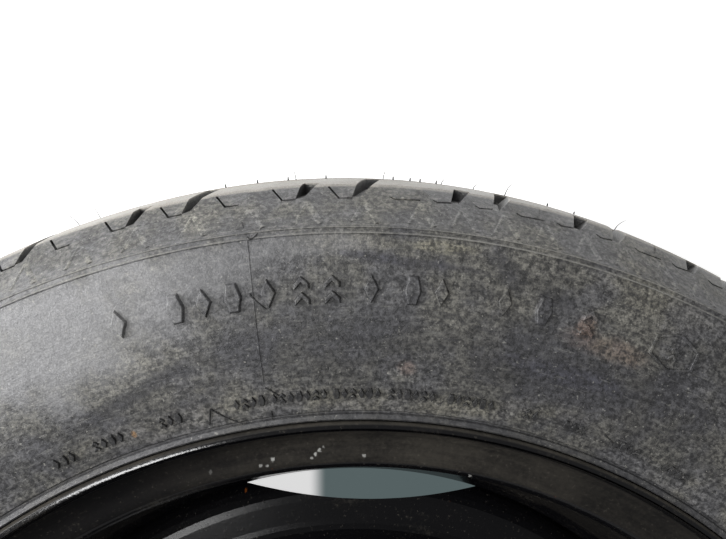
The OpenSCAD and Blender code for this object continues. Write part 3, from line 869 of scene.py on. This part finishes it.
    def groups(self) -> Iterator[tuple[Matrix, float, float]]:
        """Turn to the shoulder, start and pitch in degrees of each group, on both shoulders."""
        flip = (Matrix.Rotation(math.radians(self.long_pitch / 2), 4, "Z")
                @ Matrix.Rotation(math.pi, 4, "X"))
        for side in Shoulder:
            other = flip if side is Shoulder.INBOARD else Matrix.Identity(4)
            for start, pitch in self.groove_groups():
                yield other, start, pitch

    def blocks(self, shift: float = 0.0) -> Iterator[tuple[Matrix, float, int]]:
        """Turn to each block, shifted by some degrees, its angle and its number in its group."""
        for other, start, pitch in self.groups():
            for n in range(PER_GROUP):
                angle = start + pitch * n / PER_GROUP
                yield other @ turned(angle + shift), angle, n

    def buttress_frame(self) -> Matrix:
        """Frame on the shoulder edge: X clockwise, Y up the buttress, Z out of the rubber."""
        rise = self.half_tread - self.side_at(self.buttress_r)
        up = Vector((0.0, self.shoulder_r - self.buttress_r, rise)).normalized()
        clockwise = Vector((1, 0, 0))
        turn = Matrix((clockwise, up, clockwise.cross(up))).transposed().to_4x4()
        return Matrix.Translation((0.0, self.shoulder_r, self.half_tread)) @ turn

    def facets(self) -> Mesh:
        """Cuts that round the edge of each block above its sipe."""
        cuts = bmesh.new()
        top = Vector((0, self.tread_at(45 * MM) + 0.05 * MM, 44.6 * MM))
        foot = Vector((0, 280.9 * MM, 52.3 * MM))
        slope = (foot - top).normalized()
        out = Vector((0, slope.z, -slope.y))
        early, late, late_foot = (Vector((x * MM, 0, 0)) for x in (-5.6, 9.5, 7.2))
        outline = [top + early, foot, foot + late_foot, top + late]
        for place, _, _ in self.blocks():
            add_prism(cuts, outline, out * 4 * MM, place)
        return cuts

    def notches(self) -> Mesh:
        """Cuts of the notches and of the straight slots in the tread's ribs."""
        cuts = bmesh.new()
        run = self.half_tread - self.groove_pitch
        floor_r = self.shoulder_r - self.notch_depth
        rise = self.tread_at(self.groove_pitch) - self.groove_depth + 0.4 * MM - floor_r
        height, overrun = 14 * MM, 12 * MM
        half = self.notch_w / 2
        far = half + height * math.tan(math.radians(self.notch_far_wall))
        wedge = ((-half, 0.0), (-half, height), (far, height), (half, 0.0))
        lean = (Matrix.Translation((0, floor_r, self.half_tread))
                @ Matrix.Rotation(math.atan2(rise, run), 4, "X")
                @ Matrix.Rotation(-math.radians(self.notch_lean), 4, "Y"))
        slot = [Vector((x * MM, -3.2 * MM, z * MM)) for x, z in
                ((-2.9, 4.6), (-2.3, 4.6), (2.9, 16.6), (2.3, 16.6))]
        on_tread = Matrix.Translation((0, self.radius, 0))
        for other, start, pitch in self.groups():
            for n, reach in enumerate((self.short_notch_l, run)):
                place = other @ turned(start + pitch * n / PER_GROUP + self.notch_shift) @ lean
                outline = [Vector((x, y, -reach)) for x, y in wedge]
                add_prism(cuts, outline, Vector((0, 0, reach + overrun)), place)
            for n in range(PER_GROUP):
                place = other @ turned(start + pitch * (n + 0.4) / PER_GROUP) @ on_tread
                add_prism(cuts, slot, Vector((0, 8 * MM, 0)), place)
        return cuts

    def sipes(self) -> Mesh:
        """Cuts of the thin bent sipes under each block's edge."""
        cuts = bmesh.new()
        at_edge = self.buttress_frame()
        bent = self.sipe_outline((-2.2, 0.9), (5.6, -7.1))
        plain = self.sipe_outline((-0.4, -5.9), (6.4, -6.3))
        long_plain = self.sipe_outline((-0.4, -6.0), (9.6, -6.8))
        sweep = Vector((0, 0, self.sipe_depth + 3 * MM))
        for place, angle, n in self.blocks():
            along = (angle - self.first_group) % (360 / self.quadrants)
            late = long_plain if n == PER_GROUP - 1 else plain
            add_prism(cuts, bent if along < self.plain_from else late, sweep, place @ at_edge)
        return cuts

    def sipe_outline(self, start: Point, end: Point) -> list[Vector]:
        """Outline of one bent sipe at its floor, from its upper end to its far end in mm."""
        half = self.sipe_w / 2
        path = [Vector(at) * MM for at in (start, (1.1, -7.1), end)]
        first, second = (path[1] - path[0]).normalized(), (path[2] - path[1]).normalized()
        n1, n2 = Vector((-first.y, first.x)), Vector((-second.y, second.x))
        sides = (n1 * half, (n1 + n2) / (1 + n1.dot(n2)) * half, n2 * half)
        upper = [p + side for p, side in zip(path, sides)]
        lower = [p - side for p, side in zip(path, sides)]
        return [Vector((p.x, p.y, -self.sipe_depth)) for p in upper + lower[::-1]]

    def build(self, material: Material) -> None:
        """Makes the tyre of a rubber."""
        piece = finished("tyre_moulding", spun(self.section(), self.steps))
        for cuts in (self.facets(), self.notches(), self.sipes()):
            carve(piece, cuts)
        piece.data.shade_smooth()
        piece.data.set_sharp_from_angle(angle=math.radians(32))
        dress(piece, material, "tyre_rubber", "tyre")


@dataclass
class Rim:
    """The drop-centre rim, rolled from one sheet."""

    seat_r: float = 190.1 * MM
    flange_z: float = 50.8 * MM
    flange_h: float = 17.3 * MM
    sheet_t: float = 2.5 * MM
    curl_r: float = 9.5 * MM
    lip_l: float = 1.5 * MM
    lip_crown: tuple[Point, ...] = (
        (-1.0, 1.1), (-0.96, 0.85), (-0.84, 0.62), (-0.62, 0.42), (-0.3, 0.26), (0.1, 0.14),
        (0.5, 0.03), (0.72, 0.0), (0.88, 0.10), (0.97, 0.30), (1.0, 0.60))
    taper: float = 5.0
    heel_r: float = 6.5 * MM
    seat_w: float = 14.5 * MM
    seat_bend_r: float = 6 * MM
    hump_h: float = 1.1 * MM
    hump_run: float = 5.2 * MM
    hump_bend_r: float = 3.5 * MM
    well_r: float = 170 * MM
    well_top_z: float = 4 * MM
    well_low_z: float = -22 * MM
    well_bend_r: float = 8 * MM
    steps: int = 360

    def seat_at(self, z: float) -> float:
        """Mid-sheet radius of the street side's bead seat at a height."""
        slope = math.radians(self.taper)
        middle = self.seat_r - self.sheet_t / 2 / math.cos(slope)
        return middle - (self.flange_z - z) * math.tan(slope)

    def path(self) -> BentPath:
        """The sheet's bent path, from the street side's lip to the inboard lip."""
        half = self.sheet_t / 2
        lip_r = self.seat_r + self.flange_h - half
        flange_z = self.flange_z + half
        lip_z = self.flange_z + self.curl_r + self.lip_l
        seat_end = self.flange_z - self.seat_w
        hump_z = seat_end - self.hump_run
        well = self.well_r + half
        curl, heel = self.curl_r - half, self.heel_r + half
        seat = self.seat_at(seat_end)
        return BentPath([
            (lip_r, lip_z, 0.0), (lip_r, flange_z, curl), (self.seat_at(flange_z), flange_z, heel),
            (seat, seat_end, self.seat_bend_r), (seat + self.hump_h, hump_z, self.hump_bend_r),
            (well, self.well_top_z, self.well_bend_r), (well, self.well_low_z, self.well_bend_r),
            (seat, self.hump_bend_r - seat_end, self.well_bend_r),
            (self.seat_at(flange_z), -flange_z, heel), (lip_r, -flange_z, curl),
            (lip_r, -lip_z, 0.0),
        ], 7.0)

    def build(self, material: Material) -> None:
        """Makes the rim, with a paint."""
        crown = [(across, depth * MM) for across, depth in self.lip_crown]
        outline = self.path().sheet(self.sheet_t, crown)
        piece = finished("rim_sheet", spun(outline, self.steps), 60.0)
        dress(piece, material, "rim_paint", "rim")


@dataclass
class Studio:
    """Camera, floor and light.

    Attributes:
        floor_z: Height of the floor.
        focal_px: Focal length, in pixels of the photo.
        frame_px: Width of the photo, in pixels.
        sensor: Width of the sensor, in mm.
    """

    floor_z: float
    focal_px: float = 645.5
    frame_px: float = 726.0
    sensor: float = 36.0

    def camera(self) -> None:
        """Sets the camera as the photo was taken."""
        data = bpy.data.cameras.new("camera")
        data.sensor_width = self.sensor
        data.lens = self.focal_px / self.frame_px * self.sensor
        data.clip_start = 0.01
        seen_from = bpy.data.objects.new("camera", data)
        back = CAMERA_RIGHT.cross(CAMERA_UP)
        turn = Matrix((CAMERA_RIGHT, CAMERA_UP, back)).transposed().to_4x4()
        seen_from.matrix_world = Matrix.Translation(CAMERA_PLACE) @ turn
        bpy.context.scene.collection.objects.link(seen_from)
        bpy.context.scene.camera = seen_from

    def lamp(self, name: str, place: Vector, target: Vector, size: Point, power: float) -> None:
        """Adds a soft oblong lamp.

        Args:
            name: Its name.
            place: Where it hangs.
            target: What it points at.
            size: Its width and height.
            power: Its power in watts.
        """
        data = bpy.data.lights.new(name, "AREA")
        data.shape = "RECTANGLE"
        data.size, data.size_y = size
        data.energy = power
        made = bpy.data.objects.new(name, data)
        made.location = place
        made.rotation_euler = (place - target).to_track_quat("Z", "Y").to_euler()
        bpy.context.scene.collection.objects.link(made)

    def floor(self) -> None:
        """Lays the pale floor, white to the camera, that keeps the object's shadow, with a painted
        shadow where it shows through the vent.
        """
        mesh = bmesh.new()
        level = Matrix.Translation((0, 0, self.floor_z))
        bmesh.ops.create_grid(mesh, x_segments=1, y_segments=1, size=4.0, matrix=level)
        piece = finished("floor", mesh)
        g = Graph("white_paper")
        # Painted shadow: the floor seen through the vent is tinted dark grey-green, in its colour
        # and in its glow.
        painted_vent_shadow = g.times(g.ramp(g.radius, 190 * MM, 215 * MM, 1.0, 0.0),
                          g.ramp(g.x, -19 * MM, -9 * MM))
        paper = g.mix(g.noise(3.0), (0.80, 0.80, 0.79), (0.84, 0.84, 0.83))
        rays = g.node("ShaderNodeLightPath").outputs
        mirrored = g.math("MAXIMUM", rays["Is Glossy Ray"], rays["Is Transmission Ray"])
        seen = g.math("MAXIMUM", rays["Is Camera Ray"], mirrored)
        from_below = g.node("ShaderNodeNewGeometry").outputs["Backfacing"]
        piece.data.materials.append(g.made({
            "Base Color": g.mix(painted_vent_shadow, paper, (0.085, 0.115, 0.118)),
            "Roughness": 0.8,
            "Emission Color": g.mix(painted_vent_shadow, (1.0, 1.0, 1.0), (0.128, 0.168, 0.172)),
            "Emission Strength": g.times(seen, 0.7),
            "Alpha": g.minus(1.0, from_below),
        }))

    def world(self) -> None:
        """Lights the room softly, and shows it white to the camera."""
        made = bpy.data.worlds.new("room")
        bpy.context.scene.world = made
        made.use_nodes = True
        tree = made.node_tree
        back = tree.nodes["Background"]
        back.inputs["Color"].default_value = (1.0, 1.0, 1.0, 1.0)
        path = tree.nodes.new("ShaderNodeLightPath")
        level = tree.nodes.new("ShaderNodeMapRange")
        level.inputs["To Min"].default_value = 0.30
        level.inputs["To Max"].default_value = 1.0
        tree.links.new(path.outputs["Is Camera Ray"], level.inputs["Value"])
        tree.links.new(level.outputs[0], back.inputs["Strength"])

    def build(self) -> None:
        """Makes the whole studio."""
        self.camera()
        self.floor()
        self.world()
        for name, place, target, size, power in (
            ("window", (-0.75, 0.36, 0.46), (0.05, 0.2, 0.06), (0.4, 0.4), 9.5),
            ("sky", (0.0, 1.5, 0.55), (0, 0.28, 0.03), (1.2, 1.2), 5.5),
            ("glint", (-0.578, 0.223, 1.15), (-0.073, 0.192, 0.062), (0.16, 0.40), 6.5),
        ):
            self.lamp(name, Vector(place), Vector(target), size, power)


@dataclass
class SidewallMarks:
    """Plain raised marks, ridges and rubber hairs on the tyre's street side.

    Attributes:
        tyre: The tyre that carries them.
        root: Depth of a mark's foot in the rubber.
        rise: Height of a large mark over the sidewall.
        small_rise: Height of a small mark over it.
        large_r: Radius of the row of large marks.
        large_h: Length of a large mark out along the radius.
        small_r: Radius of the row of small marks.
        small_h: Length of a small mark.
        small_pitch: Degrees from one small mark to the next.
        framed_at: Degrees clockwise from +Y of the framed mark.
    """

    tyre: Tyre
    root: float = 0.5 * MM
    rise: float = 1.25 * MM
    small_rise: float = 0.8 * MM
    large_r: float = 251.5 * MM
    large_h: float = 10 * MM
    small_r: float = 217.3 * MM
    small_h: float = 4.0 * MM
    small_pitch: float = 0.71
    framed_at: float = 24.25

    def outline(self, shape: MarkShape, h: float) -> list[list[Point]]:
        """Closed outlines of the strokes of a mark of some height, across and up."""
        w, s = h * 0.3, h * 0.1
        if shape is MarkShape.LOZENGE:
            return [[(0, -h / 2), (w, 0), (0, h / 2), (-w, 0)]]
        if shape is MarkShape.HEXAGON:
            return [[(-w * 0.6, -h / 2), (w * 0.6, -h / 2), (w * 1.1, 0),
                     (w * 0.6, h / 2), (-w * 0.6, h / 2), (-w * 1.1, 0)]]
        return [[(-w, y - 2.6 * s), (0, y), (w, y - 2.6 * s),
                 (w, y - 0.6 * s), (0, y + 2 * s), (-w, y - 0.6 * s)]
                for y in (-2.2 * s, 2.8 * s)]

    def frame_ring(self, mesh: Mesh, place: Matrix) -> None:
        """Adds the raised six-sided frame round the last large mark."""
        half_w, half_h, stroke, sides = 9.4 * MM, 6.6 * MM, 1.3 * MM, 6
        loops = []
        for inset in (0.0, stroke):
            made = bmesh.ops.create_circle(mesh, segments=sides, radius=1.0)["verts"]
            shrunk = (half_w - inset, half_h - inset * half_h / half_w, 1.0)
            bmesh.ops.scale(mesh, verts=made, vec=shrunk)
            loops.append(made)
        edges = list(dict.fromkeys(e for loop in loops for v in loop for e in v.link_edges))
        wall = bmesh.ops.bridge_loops(mesh, edges=edges)["faces"]
        sweep = Vector((0, 0, self.root + self.rise))
        raise_base(mesh, wall, Vector((0, 0, 0)), sweep, place, (1.0, 1.0))

    def add(self, mesh: Mesh, shape: MarkShape, h: float, radius: float, angle: float,
            rise: float) -> None:
        """Adds one mark on the sidewall.

        Args:
            mesh: Mesh that takes it.
            shape: Which mark.
            h: Its height.
            radius: Radius of its middle.
            angle: Degrees clockwise from +Y.
            rise: Height over the sidewall.
        """
        z = self.tyre.side_at(radius)
        slope = (self.tyre.side_at(radius + MM) - self.tyre.side_at(radius - MM)) / (2 * MM)
        place = (turned(angle) @ Matrix.Translation((0, radius, z - self.root))
                 @ Matrix.Rotation(math.atan(slope), 4, "X"))
        sweep = Vector((0, 0, self.root + rise))
        for stroke in self.outline(shape, h):
            add_prism(mesh, [Vector((x, y, 0)) for x, y in stroke], sweep, place, (0.72, 0.84))

    def large(self, material: Material) -> None:
        """Makes the row of large marks and the framed one."""
        mesh = bmesh.new()
        rows = {
            MarkShape.LOZENGE: (-17.0, -10.9, -6.3, 1.1, 6.2, 10.9),
            MarkShape.HEXAGON: (-12.9, -8.8, 4.1, 13.9),
            MarkShape.CHEVRON: (-3.9, -1.7, 17.4),
        }
        for shape, angles in rows.items():
            for angle in angles:
                self.add(mesh, shape, self.large_h, self.large_r, angle, self.rise)
        out = self.large_r + MM
        foot = Matrix.Translation((0, out, self.tyre.side_at(self.large_r) - self.root))
        self.frame_ring(mesh, turned(self.framed_at) @ foot)
        self.add(mesh, MarkShape.CHEVRON, 6 * MM, out, self.framed_at, self.rise)
        self.soften("sidewall_marks", mesh, 0.22 * MM, material)

    def small(self, material: Material) -> None:
        """Makes the row of small marks, in runs of a start in degrees and a count."""
        mesh = bmesh.new()
        shapes = (MarkShape.LOZENGE, MarkShape.HEXAGON, MarkShape.LOZENGE, MarkShape.CHEVRON)
        runs = ((-25.9, 3), (-22.3, 4), (-16.5, 3), (-10.1, 4), (-6.9, 7), (-1.6, 6),
                (3.1, 6), (8.3, 6), (15.2, 2), (18.8, 3), (23.6, 4), (28.6, 4))
        angles = [start + k * self.small_pitch for start, length in runs for k in range(length)]
        for count, angle in enumerate(angles):
            shape = shapes[count % len(shapes)]
            self.add(mesh, shape, self.small_h, self.small_r, angle, self.small_rise)
        self.soften("sidewall_small_marks", mesh, 0.07 * MM, material)

    def soften(self, name: str, mesh: Mesh, width: float, material: Material) -> None:
        """Rounds the edges of a set of marks and fixes it to the tyre."""
        piece = finished(name, mesh)
        soft = piece.modifiers.new("edges", "BEVEL")
        soft.width = width
        soft.segments = 3
        dress(piece, material, "tyre_rubber")

    def ridge(self, mesh: Mesh, a: Vector, b: Vector, out: Vector, half: float,
              rise: float) -> None:
        """Adds a thin roof-shaped ridge between two places.

        Args:
            mesh: Mesh that takes it.
            a: One end.
            b: The other end.
            out: Direction out of the rubber.
            half: Half its width.
            rise: Its height.
        """
        along = b - a
        across = along.cross(out).normalized() * half
        low = out * -0.3 * MM
        outline = [a + across + low, a + across, a + out * rise, a - across, a - across + low]
        add_prism(mesh, outline, along, Matrix.Identity(4))

    def ridges(self, material: Material) -> None:
        """Makes the shallow zigzag ridges on both buttresses."""
        mesh = bmesh.new()
        at_edge = self.tyre.buttress_frame()
        corners = [Vector((x * MM, y * MM, -0.03 * MM))
                   for x, y in ((0.0, -8.6), (-4.0, -19.6), (4.0, -20.2))]
        for turn, _, _ in self.tyre.blocks(1.9):
            place = turn @ at_edge
            out = place.to_3x3() @ Vector((0, 0, 1))
            apex, left, right = (place @ corner for corner in corners)
            self.ridge(mesh, apex, right, out, 1.1 * MM, 0.26 * MM)
            self.ridge(mesh, left, apex, out, 0.7 * MM, 0.20 * MM)
        dress(finished("buttress_ridges", mesh), material, "tyre_rubber")

    def on_side(self, radius: float, angle: float, above: float) -> Vector:
        """Place at some height above the street sidewall or buttress."""
        tyre = self.tyre
        z = tyre.side_at(min(radius, tyre.buttress_r))
        if radius > tyre.buttress_r:
            share = (tyre.shoulder_r - radius) / (tyre.shoulder_r - tyre.buttress_r)
            z = tyre.half_tread + share * (z - tyre.half_tread)
        return polar(radius, angle, z + above)

    def thread(self, name: str, points: list[Vector], thick: float, fine_end: float,
               material: Material) -> None:
        """Makes a thin rubber hair along some points.

        Args:
            name: Its name.
            points: Places it passes through.
            thick: Its radius at its root.
            fine_end: Share of that radius at its tip.
            material: Its rubber.
        """
        line = bpy.data.curves.new(name, "CURVE")
        line.dimensions = "3D"
        line.bevel_depth = thick
        line.bevel_resolution = 1
        line.use_fill_caps = True
        line.resolution_u = 4
        spline = line.splines.new("NURBS")
        spline.points.add(len(points) - 1)
        for k, (p, at) in enumerate(zip(spline.points, points)):
            p.co = (*at, 1.0)
            p.radius = 1.0 + (fine_end - 1.0) * k / (len(points) - 1)
        spline.order_u = 3
        spline.use_endpoint_u = True
        shape = bpy.data.objects.new(name, line)
        bpy.context.scene.collection.objects.link(shape)
        view = bpy.context.evaluated_depsgraph_get()
        data = bpy.data.meshes.new_from_object(shape.evaluated_get(view))
        bpy.data.objects.remove(shape)
        mesh = bmesh.new()
        mesh.from_mesh(data)
        bmesh.ops.remove_doubles(mesh, verts=mesh.verts, dist=1e-6)
        bmesh.ops.recalc_face_normals(mesh, faces=mesh.faces)
        dress(finished(name, mesh), material, "tyre_rubber")

    def hairs(self, rubber: Material, dark: Material) -> None:
        """Makes the moulding hairs that stuck to the sidewall or stand on the tread."""
        lying = {
            "hair_hook": ((274.5, -7.55), (269.3, -7.25), (269.0, -6.95), (269.6, -6.7),
                          (271.9, -6.28)),
            "hair_cross": ((252.2, -7.61), (250.1, -7.32), (248.3, -6.94), (246.6, -6.55)),
            "hair_stub": ((213.2, -7.31), (209.8, -7.33)),
            "hair_low": ((212.3, -12.76), (217.4, -12.36), (217.5, -12.3), (214.4, -11.51),
                         (211.9, -10.71), (210.2, -9.94)),
            "hair_mid": ((221.4, -7.48), (219.7, -6.89), (216.9, -6.14)),
            "hair_right": ((218.7, 22.27), (216.2, 23.92)),
        }
        for name, route in lying.items():
            points = [self.on_side(r * MM, a, 0.35 * MM) for r, a in route]
            self.thread(name, points, 0.26 * MM, 0.7, dark)
        steps = 12
        seam = [self.on_side((268.7 - 46.1 * k / steps) * MM, -7.26 - 0.3 * k / steps, 0.02 * MM)
                for k in range(steps + 1)]
        self.thread("mould_seam", seam, 0.24 * MM, 1.0, rubber)
        hairs = ((-20.5, 9.5, 1.6), (-18.9, 7.0, 0.4), (-4.1, 4.6, 0.2), (2.45, 5.6, -0.4),
                 (6.9, 3.4, -0.4), (9.4, 3.0, -0.3), (11.9, 6.5, -0.5), (21.0, 5.5, -0.6))
        stubs = tuple((angle, 1.5, 0.0) for angle in
                      (-9.4, -7.0, -4.7, -1.85, 3.24, 4.54, 5.31, 6.56, 15.4, 17.6))
        for name, standing, z, shares, thick, fine_end in (
            ("tread_hair", hairs, 20 * MM, (0.0, 0.35, 0.7, 1.0), 0.2 * MM, 0.3),
            ("tread_stub", stubs, 19 * MM, (0.0, 0.5, 1.0), 0.35 * MM, 0.7),
        ):
            root = self.tyre.tread_at(z) - 0.3 * MM
            for count, (angle, length, lean) in enumerate(standing, 1):
                points = [polar(root + length * share * MM, angle - lean * share * share, z)
                          for share in shares]
                self.thread(f"{name}_{count}", points, thick, fine_end, dark)


def build_tyre(tyre: Tyre) -> None:
    """Makes the tyre with its marks, ridges and hairs."""
    rubber = TyreFinish("tyre_rubber").material()
    marks = TyreFinish("tyre_mark_rubber", dust_share=0.35).material()
    dark = TyreFinish("tyre_dark_rubber", clean=(0.011, 0.011, 0.011), dusty=(0.032, 0.032, 0.031),
                      stains_and_painted_light=False).material()
    # Paler rubber of the buttress ridges: dust, with a painted highlight for the light their edges
    # catch.
    worn = TyreFinish("tyre_ridge_rubber", clean=(0.105, 0.105, 0.10), dusty=(0.20, 0.196, 0.184),
                      stains_and_painted_light=False).material()
    tyre.build(rubber)
    relief = SidewallMarks(tyre)
    relief.large(marks)
    relief.small(dark)
    relief.ridges(worn)
    relief.hairs(rubber, dark)


def finish_nodes() -> None:
    """Gives the disc and the valve's pieces their finishes."""
    disc = PaintFinish("disc_paint", 0.52, 0.26, 0.16, DISC_SPECKS)
    black = PlainFinish("valve_rubber", (0.02, 0.02, 0.02), (0.06, 0.058, 0.054), grain=0.03 * MM)
    brass = PlainFinish("brass", (0.55, 0.38, 0.15), (0.32, 0.22, 0.10), 1.0, (0.25, 0.45))
    plastic = PlainFinish("cap_plastic", (0.022, 0.022, 0.024), (0.07, 0.068, 0.062), 0.0,
                          (0.35, 0.6))
    seal = PlainFinish("seal", (0.30, 0.05, 0.03), (0.20, 0.05, 0.035), 0.0, (0.5, 0.7))
    steel = PlainFinish("spring_steel", (0.55, 0.55, 0.56), (0.35, 0.34, 0.33), 1.0, (0.2, 0.4))
    worn_by = {
        disc: ("wheel_disc",),
        black: ("valve_rubber", "core_gasket"),
        brass: ("valve_tube", "core_plug", "core_barrel", "core_pin", "core_cup"),
        plastic: ("valve_cap",),
        seal: ("cap_seal", "core_barrel_seal"),
        steel: ("core_spring",),
    }
    for finish, names in worn_by.items():
        material = finish.material()
        for name in names:
            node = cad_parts[name]
            node.data.materials.clear()
            node.data.materials.append(material)


def main() -> None:
    """Builds the wheel's looks and the studio, in order."""
    logging.basicConfig(level=logging.INFO, format="%(name)s: %(message)s")
    low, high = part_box("tyre")
    Studio(floor_z=low.z).build()
    build_tyre(Tyre(radius=high.x, half_width=high.z))
    rings = (DustRing(206.6 * MM, 208.5 * MM, 0.8, 0.9),
             DustRing(190.6 * MM, 203.0 * MM, 0.62, 1.0, thins=True),
             DustRing(176 * MM, 187.6 * MM, 0.2, 0.3))
    Rim().build(PaintFinish("rim_paint", 0.5, 0.13, 0.34, RIM_SPECKS, rings).material())
    finish_nodes()
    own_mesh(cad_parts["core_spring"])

    scene = bpy.context.scene
    scene.view_settings.view_transform = "Standard"


if __name__ == "__main__":
    main()
